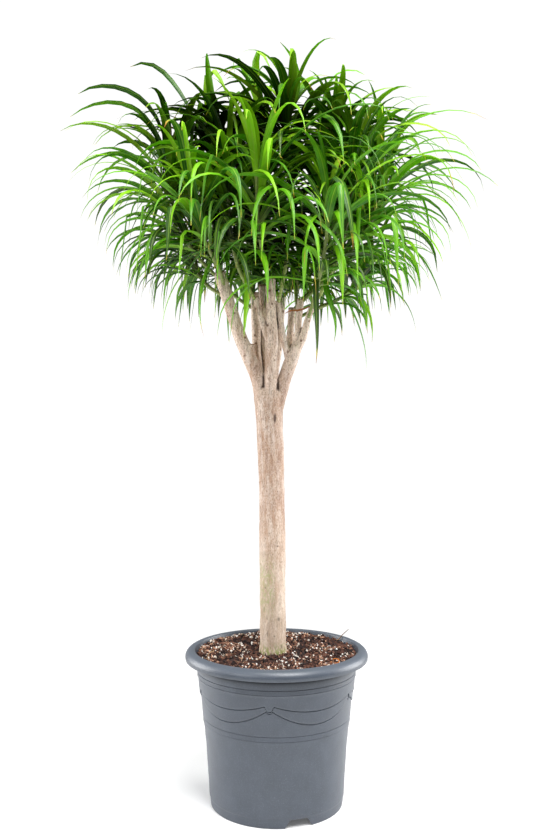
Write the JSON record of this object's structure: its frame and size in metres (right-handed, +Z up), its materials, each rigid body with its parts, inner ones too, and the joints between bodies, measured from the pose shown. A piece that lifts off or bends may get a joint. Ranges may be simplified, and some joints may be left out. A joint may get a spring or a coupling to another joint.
{
  "type": "potted dracaena",
  "caption": "House plant: round grey nursery pot filled with soil, a bare pale trunk forking into pruned branches, and a round crown of leafy shoots with long arching leaves.",
  "frame": {"origin": "centre of the circle on which the pot's foot stands", "axes": "+Z up along the trunk, -Y towards the side that the reference shows, +X to that side's right"},
  "size_m": [0.7568, 0.7304, 1.3667],
  "materials": {
    "pot_plastic": "injection moulded polypropylene, blue grey, satin",
    "potting_mix": "loose crumbly peat and bark with white perlite",
    "bark": "pale beige bark with fine dark fissures and flecks",
    "foliage": "glossy bright green strap leaves with a paler midrib"
  },
  "bodies": {
    "root": {"pot": "pot_plastic", "soil": "potting_mix", "trunk": "bark", "shoot_left": "foliage", "shoot_left_front": "foliage", "shoot_left_low": "foliage", "shoot_fan": "foliage", "shoot_top_left": "foliage", "shoot_back_left": "foliage", "shoot_top_back": "foliage", "shoot_back": "foliage", "shoot_front": "foliage", "shoot_top": "foliage", "shoot_front_right": "foliage", "shoot_right_front": "foliage", "shoot_right": "foliage", "shoot_top_right": "foliage", "shoot_back_right": "foliage", "shoot_right_low": "foliage", "shoot_back_low": "foliage"}
  },
  "joints": []
}
